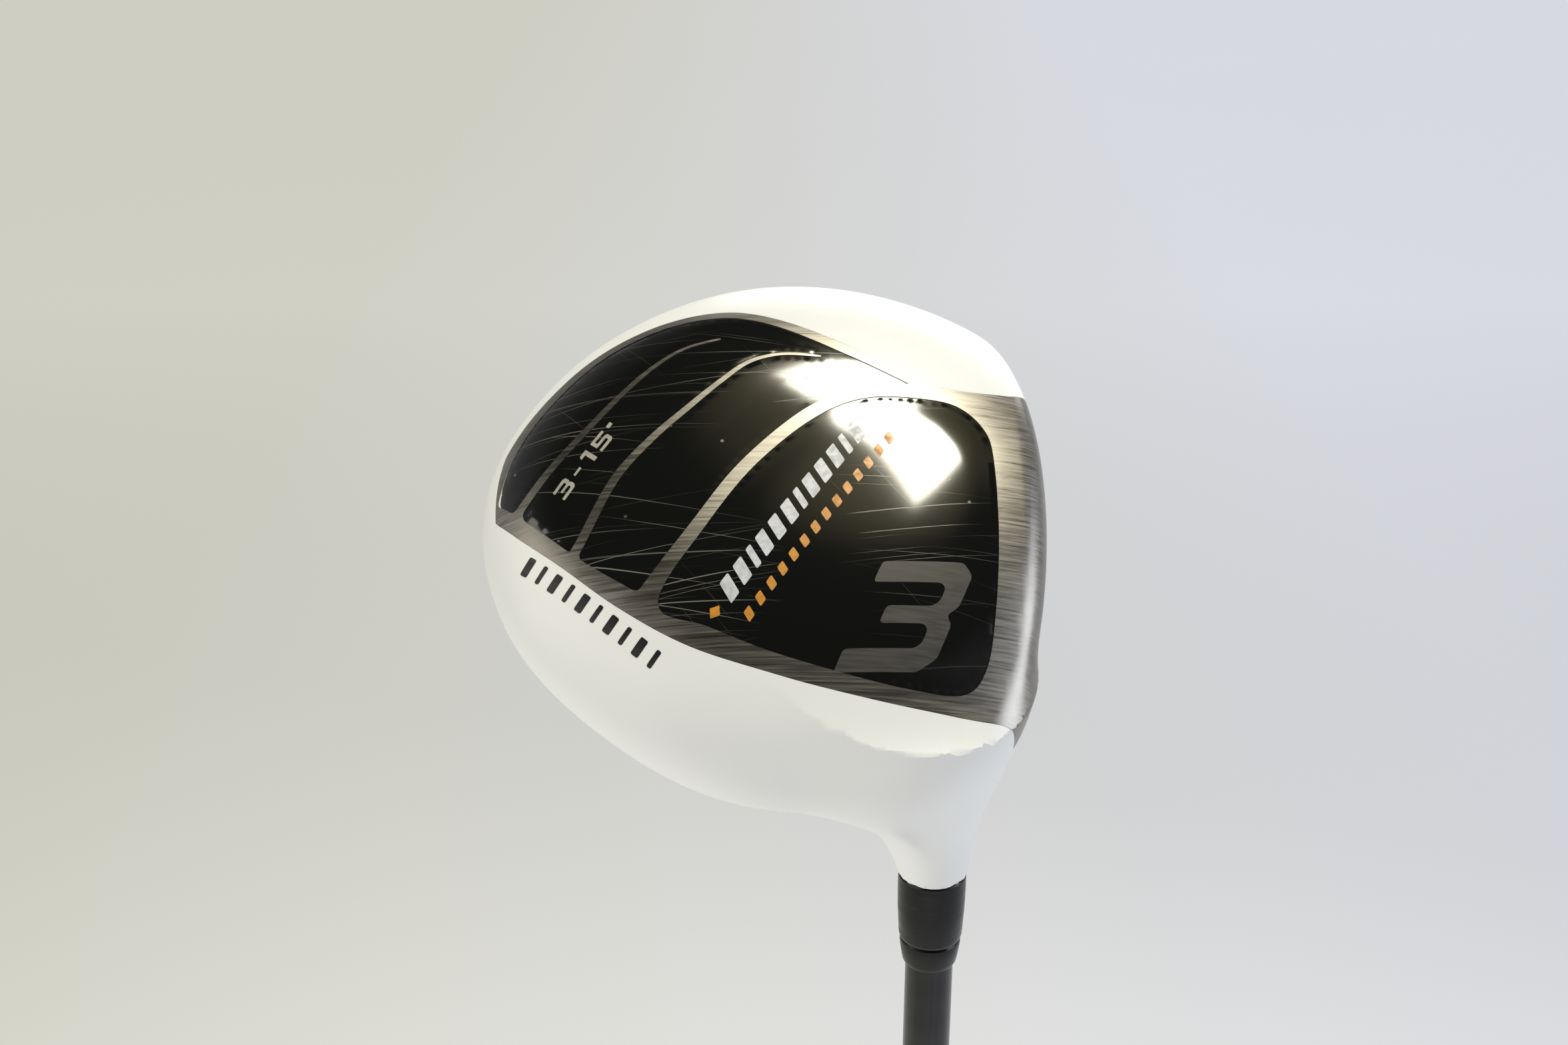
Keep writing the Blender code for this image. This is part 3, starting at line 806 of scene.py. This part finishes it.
def level_lift(depth):
    """A field whose surface lies depth below the head's, measured along its normals."""
    def field(p):
        g = np.linalg.norm(slope(head_field, p, 0.1), axis=-1)
        return head_field(p) / np.maximum(g, 1e-6) + depth
    return field


def head_solid(name, cell):
    points, faces = net_surface(head_field, NET_LOW, NET_HIGH, cell)
    return head_object(name, settle(head_field, points), faces)


def seam_block():
    """The space above the tilted seam between body and crown."""
    front, back, side = 60.0, -120.0, 160.0
    rise = [SEAM_HEIGHT + SEAM_SLOPE * (y - SEAM_REAR) for y in (back, front)]
    low = [(-side, back, rise[0]), (side, back, rise[0]), (side, front, rise[1]),
           (-side, front, rise[1])]
    return stacked("above_seam", [low, [(x, y, 90.0) for x, y, z in low]])


def rear_inlay_loop():
    """The black field behind the third rib, running round the tips of the first two."""
    toe = smooth_curve(REAR_TOE_SIDE, closed=False)
    rib_side = smooth_curve(REAR_RIB_SIDE, closed=False)
    heel = smooth_curve(REAR_HEEL_SIDE, closed=False, steps=16)
    path = [toe[:-1], rib_side[:-1]]
    cut = 0
    for rib in (RIB_2, RIB_1):
        line = smooth_curve(rib, closed=False)
        along = np.gradient(line, axis=0)
        along /= np.linalg.norm(along, axis=1, keepdims=True)
        half = 0.5 * np.linspace(RIB_WIDTHS[0], RIB_WIDTHS[1], len(line))[:, None]
        side = half * np.stack([along[:, 1], -along[:, 0]], 1)
        near, far = line + side, line - side
        start = int(np.argmin(np.linalg.norm(line[:, None] - heel, axis=-1).min(1)[:24]))
        first = cut + int(np.argmin(np.linalg.norm(heel[cut:] - far[start], axis=1)))
        path.append(heel[cut:first])
        path.append(far[start + 1:])
        path.append(near[:start:-1])
        cut = first + 1 + int(np.argmin(np.linalg.norm(heel[first + 1:] - near[start], axis=1)))
    path.append(heel[cut:-1])
    return rounded_loop(np.vstack(path), 0.35, 6)


def inlay_level(distance):
    """A fine step down at the border, then nearly flush with the ribs."""
    return -0.14 + 0.08 * (1.0 - np.exp(-(distance / 0.5) ** 2))


def rear_level(distance):
    """As inlay_level, dished a little between the ribs."""
    return inlay_level(distance) - PANEL_DISH * (1.0 - np.exp(-distance / PANEL_EASE))


def front_level(distance):
    """As inlay_level, with the panel swelling out towards its middle."""
    return inlay_level(distance) + PANEL_SWELL * (1.0 - np.exp(-(distance / PANEL_EASE) ** 2))


def build_inlay(name, look, node, loop, level, depth):
    """A black field sunk into the sole plate, its top at level(distance to the border)."""
    surface = level_lift(0.0)

    def stands(plan):
        return level(border_distance(plan, loop))

    inlay = sole_patch(name, loop, [look], stands, depth=depth)
    place_on_head(inlay, "gloss_black", node,
                  field=lambda p: surface(p) - stands(p[:, :2]))


def build_head(looks):
    """Cuts plate, body, crown and face from the one form, and adds inlays and marks."""
    solid = head_solid("head_solid", HEAD_CELL)
    lifted = copy_of(solid, "lifted", PLATE_LIP)
    inner = copy_of(solid, "inner", PLATE_THICK)
    inner.data.transform(Matrix.Translation((0.0, -LIP_THICK * MM, 0.0)))
    plate_loop = even_loop(smooth_curve(PLATE_OUTLINE), 0.8)
    face_loop = even_loop(smooth_curve(FACE_OUTLINE), 0.8)
    rear_loop = rear_inlay_loop()
    front_loop = rounded_loop(smooth_curve(FRONT_INLAY), 0.4, 4)

    plate = combine(plan_prism("sole_plate_metal", plate_loop), solid, "INTERSECT", True)
    combine(plate, inner, "DIFFERENCE", True)
    combine(plate, lifted, "DIFFERENCE", True)
    shallow = copy_of(solid, "shallow", POCKET_DEPTH)
    for loop in (rear_loop, front_loop):
        pocket = plan_prism("pocket", grown(loop, POCKET_GAP))
        combine(pocket, shallow, "DIFFERENCE", True)
        combine(plate, pocket, "DIFFERENCE")
    bpy.data.objects.remove(shallow, do_unlink=True)
    plate.data.materials.clear()
    plate.data.materials.append(looks["steel"])
    place_on_head(plate, "brushed_steel", "sole_plate", field=head_field)

    cavity = head_object("cavity", *net_surface(level_lift(WALL), NET_LOW, CAVITY_HIGH,
                                                CAVITY_CELL))
    white = combine(solid, cavity, "DIFFERENCE")
    plate_hole = plan_prism("plate_hole", grown(plate_loop, SEAM))
    combine(plate_hole, lifted, "DIFFERENCE", True)
    combine(plate_hole, inner, "DIFFERENCE")
    combine(white, plate_hole, "DIFFERENCE")
    face_hole = face_prism("face_hole", grown(face_loop, SEAM), FACE_HOLE_BACK, AHEAD)
    combine(white, face_hole, "DIFFERENCE")
    bore_low, bore_high = (GROUND_POINT / MM - below for below in BORE_SPAN)
    bore = turned("bore", [(0.01, bore_low), (BORE_RADIUS, bore_low), (BORE_RADIUS, bore_high),
                           (0.01, bore_high)], (), 48)
    bore.data.transform(HEAD_PLACE.inverted())
    combine(white, bore, "DIFFERENCE")
    crown = copy_of(white, "crown_paint")
    combine(crown, seam_block(), "INTERSECT")
    body = combine(white, seam_block(), "DIFFERENCE")
    body.name = "body_paint"
    for piece, node in ((body, "body_casting"), (crown, "crown_shell")):
        piece.data.materials.clear()
        piece.data.materials.append(looks["white"])
        place_on_head(piece, "white_paint", node, field=head_field)

    build_face(looks, face_loop, lifted)
    bpy.data.objects.remove(lifted, do_unlink=True)

    build_inlay("inlay_rear", looks["black"], "sole_inlay_rear", rear_loop, rear_level, 0.3)
    build_inlay("inlay_front", looks["black"], "sole_inlay_front", front_loop, front_level, 0.7)
    build_marks(looks, front_loop, rear_loop)


def slanted(origin, along, rise, outline):
    """Sets an outline of a unit box into the plan, its sides running along and rise."""
    outline = np.array(outline, float)
    loop = np.array(origin) + outline[:, :1] * np.array(along) + outline[:, 1:] * np.array(rise)
    return loop if signed_area(loop) > 0.0 else loop[::-1]


def mark_row(name, look, slot, level, origin, along, rise, widths, gap):
    """A row of plain slanted bars; widths and gap are shares of the row's length."""
    place_in_row, bars = 0.0, []
    for width in widths:
        box = [(place_in_row, 0.0), (place_in_row + width, 0.0), (place_in_row + width, 1.0),
               (place_in_row, 1.0)]
        bars.append(rounded_loop(slanted(origin, along, rise, box), 0.2, 2))
        place_in_row += width + gap
    add_marks(name, look, slot, level, bars)


def add_marks(name, look, slot, level, loops):
    """Joins thin printed marks into one piece that lies on the sole."""
    shape = bmesh.new()
    for loop in loops:
        part = sole_patch(name, loop, [look], level, 0.6, 0.12)
        shape.from_mesh(part.data)
        bpy.data.objects.remove(part, do_unlink=True)
    mesh = bpy.data.meshes.new(name)
    shape.to_mesh(mesh)
    shape.free()
    mesh.materials.append(look)
    item = bpy.data.objects.new(name, mesh)
    bpy.context.scene.collection.objects.link(item)
    mesh.shade_smooth()
    mesh.set_sharp_from_angle(angle=math.radians(40.0))
    place_on_head(item, slot)


def build_marks(looks, front_loop, rear_loop):
    """Plain numerals for the club's number and loft, and rows of bars for printed words."""
    def on_front(plan):
        return front_level(border_distance(plan, front_loop)) + MARK_RISE

    def on_rear(plan):
        return rear_level(border_distance(plan, rear_loop)) + MARK_RISE

    def on_skirt(plan):
        return np.full(len(plan), MARK_RISE)

    big = [rounded_loop(slanted((-12.2, -18.0), (0.8, 16.0), (19.5, 8.5), DIGIT_3), 0.4, 3)]
    add_marks("club_number", looks["etched"], "brushed_steel", on_front, big)

    along, rise = np.array((0.83, 0.56)), np.array((1.9, -2.2))
    small = []
    for start, width, outline in ((0.0, 3.4, DIGIT_3), (4.6, 1.8, DASH), (7.6, 2.0, DIGIT_1),
                                  (10.9, 3.4, DIGIT_5), (15.3, 1.2, DEGREE)):
        origin = np.array((21.4, -63.6)) + start * along
        small.append(even_loop(slanted(origin, width * along, rise, outline), 0.25))
    add_marks("loft_number", looks["beige_fill"], "white_paint", on_rear, small)

    pair = (0.052, 0.052, 0.03, 0.052)
    mark_row("white_bars", looks["white_fill"], "white_paint", on_front, (-0.6, -34.6),
             (37.4, 25.6), (3.6, -2.0), pair * 3, 0.030)
    mark_row("orange_bars", looks["orange_fill"], "white_paint", on_front, (-3.9, -31.6),
             (38.0, 26.2), (1.7, -1.0), (0.034,) * 14, 0.036)
    diamond = even_loop(slanted((-3.6, -37.2), (2.2, 1.5), (1.2, -1.7),
                                [(0.0, 0.5), (0.5, 0.0), (1.0, 0.5), (0.5, 1.0)]), 0.25)
    add_marks("orange_diamond", looks["orange_fill"], "white_paint", on_front, [diamond])
    mark_row("skirt_bars", looks["plastic"], "black_plastic", on_skirt, SKIRT_ROW[0],
             SKIRT_ROW[1], SKIRT_ROW[2], (0.05, 0.03) * 5, 0.065)


def build_face(looks, face_loop, lifted):
    """The face insert, with score lines sunk into its lofted front."""
    points, faces = [], []
    across, rising = 90, 180
    for offset in (0.0, -FACE_THICK):
        for i in range(across + 1):
            for j in range(rising + 1):
                x, z = -30.0 + 100.0 * i / across, -5.0 + 45.0 * j / rising
                line = abs((z - SCORE_START) / SCORE_STEP - round((z - SCORE_START) / SCORE_STEP))
                beside = SCORE_CLEAR < abs(x - SCORE_MIDDLE) < SCORE_REACH
                scored = (beside and line * SCORE_STEP < SCORE_HALF
                          and SCORE_SPAN[0] < z < SCORE_SPAN[1])
                points.append((x, face_line(x, z) + offset - SCORE_DEPTH * scored, z))
    layer, row = (across + 1) * (rising + 1), rising + 1
    for i in range(across):
        for j in range(rising):
            a = i * row + j
            faces.append((a, a + 1, a + row + 1, a + row))
            faces.append((layer + a, layer + a + row, layer + a + row + 1, layer + a + 1))
    edge = [i * row for i in range(across)] + [across * row + j for j in range(rising)]
    edge += [i * row + rising for i in range(across, 0, -1)] + list(range(rising, 0, -1))
    for k, a in enumerate(edge):
        b = edge[(k + 1) % len(edge)]
        faces.append((a, b, layer + b, layer + a))
    face = outward(head_object("face_plate", points, faces))
    combine(face, face_prism("outline", face_loop, 5.0, AHEAD), "INTERSECT")
    combine(face, lifted, "INTERSECT", True)
    face.data.materials.clear()
    face.data.materials.append(looks["steel"])
    face.data.shade_smooth()
    face.data.set_sharp_from_angle(angle=math.radians(30.0))
    place_on_head(face, "brushed_steel", "face_insert")


# ---------------------------------------------------------------- ferrule, shaft and grip

def build_ferrule(looks):
    top = HOSEL_END / MM - 0.05
    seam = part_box("ferrule_collar")[0].z / MM
    collar = [(4.3, top), (5.75, top), (5.95, top - 0.25), (5.97, top - 3.0), (5.9, top - 7.0),
              (5.6, seam + 0.8), (5.45, seam + 0.25), (5.2, seam), (4.3, seam)]
    place(turned("collar", collar, [looks["plastic"]]), "black_plastic", "ferrule_collar")
    start, end = seam - 0.12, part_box("ferrule_end_ring")[0].z / MM
    ring = [(4.3, start), (5.05, start), (5.35, start - 0.3), (5.38, start - 1.0),
            (5.2, start - 2.4), (4.95, end + 1.2), (4.8, end + 0.5), (4.6, end + 0.1), (4.3, end)]
    place(turned("end_ring", ring, [looks["plastic"]]), "black_plastic", "ferrule_end_ring")


def build_shaft(looks):
    low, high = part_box("shaft_tube")
    butt, tip = low.z / MM, high.z / MM
    butt_radius = high.x / MM
    straight = tip - TIP_STRAIGHT
    levels = [butt] + list(np.linspace(butt + 30.0, straight, 24)) + [straight + 25.0, tip]
    radii = [butt_radius + (TIP_RADIUS - butt_radius) * min(1.0, z / straight) for z in levels]
    outer = list(zip(radii, levels))
    inner = [(max(2.6, r - 1.0), z) for r, z in outer]
    shaft = turned("shaft", outer + inner[::-1], [looks["graphite"]])
    place(shaft, "graphite", "shaft_tube")


def grip_radius(z):
    return float(np.interp(z, GRIP_LEVELS, GRIP_RADII))


def grip_tread(angle, z, inside):
    """Depth of the moulded tread: crossing spiral grooves between plain bands."""
    if inside:
        return 0.0
    band = max(0.0, min(1.0, (z - TREAD_BAND[0]) / 4.0, (TREAD_BAND[1] - z) / 4.0))
    a = math.sin(TREAD_TURNS * angle + z * TREAD_PITCH)
    b = math.sin(TREAD_TURNS * angle - z * TREAD_PITCH)
    swell = 1.0 - max(abs(a), abs(b))
    line = min(1.0, min(abs(a), abs(b)) * 3.0)
    return -TREAD_DEPTH * band * (1.0 - line) + 0.05 * swell


def build_grip(looks):
    low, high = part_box("grip_sleeve")
    start, end = low.z / MM, high.z / MM
    levels = np.linspace(start, end, 330)
    outer = [(grip_radius(z), z) for z in levels]
    inner = [(7.0, end), (8.0, start)]
    count = len(outer)
    sleeve = turned("grip", outer + inner, [looks["rubber"]], 192,
                    lambda angle, z, index: grip_tread(angle, z, index >= count))
    place(sleeve, "rubber", "grip_sleeve")
    low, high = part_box("grip_cap")
    top, radius = high.z / MM, high.x / MM
    cap = [(0.8, 0.9), (0.9, 0.02), (6.5, 0.0), (6.9, 0.35), (7.3, 0.35), (7.7, 0.0),
           (radius - 1.6, 0.0), (radius - 0.6, 0.4), (radius, 1.5), (radius, top),
           (0.8, top)]
    place(turned("cap", cap, [looks["rubber"]]), "rubber", "grip_cap")


# ---------------------------------------------------------------- stage

def area_light(name, toward, distance, size, power, colour):
    """A soft lamp that shines at the head from the given direction."""
    target = Vector((-0.02, 0.03, GROUND_POINT))
    data = bpy.data.lights.new(name, "AREA")
    data.shape = "RECTANGLE"
    data.size, data.size_y = size
    data.energy = power
    data.color = colour
    lamp = bpy.data.objects.new(name, data)
    bpy.context.scene.collection.objects.link(lamp)
    direction = Vector(toward).normalized()
    lamp.location = target + direction * distance
    lamp.rotation_euler = direction.to_track_quat("Z", "Y").to_euler()


def build_stage():
    floor = new_object("floor", [(-40, -40, -0.001), (40, -40, -0.001), (40, 40, -0.001),
                                 (-40, 40, -0.001)], [(0, 1, 2, 3)])
    # Painted light on the floor: an emitted glow, warm on the left and cool on the right, darker
    # towards the front
    look = Look("floor_paper_painted_light", (0.80, 0.80, 0.80), 0.9)
    place_on_floor = look.node("ShaderNodeSeparateXYZ")
    look.join(look.coords(), place_on_floor.inputs["Vector"])
    side = look.ramp(place_on_floor.outputs["X"], -0.9, 0.9)
    tone = look.noise(look.coords(), 0.8, 2.0)
    shade = look.mix(side, FLOOR_LEFT_PAINTED_LIGHT, FLOOR_RIGHT_PAINTED_LIGHT)
    look.paint("Base Color", look.mix(look.ramp(tone, 0.3, 0.7, 0.0, 0.3), shade,
                                      (0.78, 0.78, 0.78)))
    depth = look.ramp(place_on_floor.outputs["Y"], -0.2, 3.5, FLOOR_PAINTED_FALLOFF, 1.0)
    painted_glow_colour = look.node("ShaderNodeVectorMath", operation="SCALE")
    look.join(shade, painted_glow_colour.inputs[0])
    look.join(depth, painted_glow_colour.inputs["Scale"])
    look.paint("Emission Color", painted_glow_colour.outputs["Vector"])
    look.shader.inputs["Emission Strength"].default_value = FLOOR_PAINTED_GLOW
    floor.data.materials.append(look.material)
    build_world()
    bpy.context.scene.view_settings.view_transform = "Standard"

    area_light("key", KEY_SIDE, 0.9, (0.32, 0.22), 6.0, (1.0, 0.96, 0.80))
    area_light("back", (0.25, 0.9, 0.35), 1.2, (0.9, 0.4), 7.0, (1.0, 0.99, 0.97))
    area_light("left", (-0.9, -0.35, 0.25), 1.3, (1.2, 1.2), 9.0, (1.0, 0.96, 0.86))
    area_light("right", (0.95, -0.1, 0.35), 1.2, (0.5, 0.9), 6.0, (0.82, 0.88, 1.0))
    area_light("front", (-0.15, -0.9, -0.15), 1.6, (1.2, 1.0), 5.0, (1.0, 0.99, 0.97))


def build_world():
    """Pale low down and dark overhead, with a warm glow round the key lamp."""
    world = bpy.data.worlds.new("studio")
    bpy.context.scene.world = world
    world.use_nodes = True
    tree = world.node_tree
    ground = tree.nodes["Background"]
    where = tree.nodes.new("ShaderNodeTexCoord")
    split = tree.nodes.new("ShaderNodeSeparateXYZ")
    ramp = tree.nodes.new("ShaderNodeValToRGB")
    tree.links.new(where.outputs["Generated"], split.inputs["Vector"])
    tree.links.new(split.outputs["Z"], ramp.inputs["Fac"])
    stops = ramp.color_ramp.elements
    stops[0].position, stops[0].color = 0.0, (0.80, 0.80, 0.79, 1.0)
    stops[1].position, stops[1].color = 0.75, (0.02, 0.02, 0.02, 1.0)
    middle = stops.new(0.30)
    middle.color = (0.62, 0.63, 0.64, 1.0)
    facing = tree.nodes.new("ShaderNodeVectorMath")
    facing.operation = "DOT_PRODUCT"
    facing.inputs[1].default_value = Vector(KEY_SIDE).normalized()
    tree.links.new(where.outputs["Generated"], facing.inputs[0])
    glow = tree.nodes.new("ShaderNodeMapRange")
    glow.interpolation_type = "SMOOTHERSTEP"
    glow.inputs["From Min"].default_value = GLOW_START
    glow.inputs["From Max"].default_value = 1.0
    tree.links.new(facing.outputs["Value"], glow.inputs["Value"])
    warm = tree.nodes.new("ShaderNodeMix")
    warm.data_type = "RGBA"
    warm.blend_type = "ADD"
    tree.links.new(glow.outputs["Result"], warm.inputs["Factor"])
    tree.links.new(ramp.outputs["Color"], warm.inputs[6])
    warm.inputs[7].default_value = (*GLOW_COLOUR, 1.0)
    tree.links.new(warm.outputs[2], ground.inputs["Color"])
    ground.inputs["Strength"].default_value = WORLD_STRENGTH


def build():
    build_camera()
    looks = {"white": white_paint(), "steel": brushed_steel(), "black": gloss_black(),
             "etched": etched_grey(), "plastic": black_plastic(), "graphite": graphite(),
             "rubber": rubber(),
             "white_fill": paint_fill("white_fill", (0.62, 0.64, 0.67)),
             "beige_fill": paint_fill("beige_fill", (0.42, 0.40, 0.34)),
             "orange_fill": paint_fill("orange_fill", (0.62, 0.27, 0.03))}
    build_head(looks)
    build_ferrule(looks)
    build_shaft(looks)
    build_grip(looks)
    hidden = {"hosel_tube": looks["steel"], "rear_weight": looks["steel"],
              "tip_weight": plain_grain("brass", (0.55, 0.40, 0.16), 0.35, 1.0, 400.0),
              "tip_plug": plain_grain("cork", (0.45, 0.30, 0.17), 0.85, 0.0, 500.0),
              "grip_tape": plain_grain("tape", (0.60, 0.52, 0.38), 0.8, 0.0, 300.0)}
    for node, look in hidden.items():
        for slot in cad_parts[node].material_slots:
            slot.material = look
    build_stage()


build()
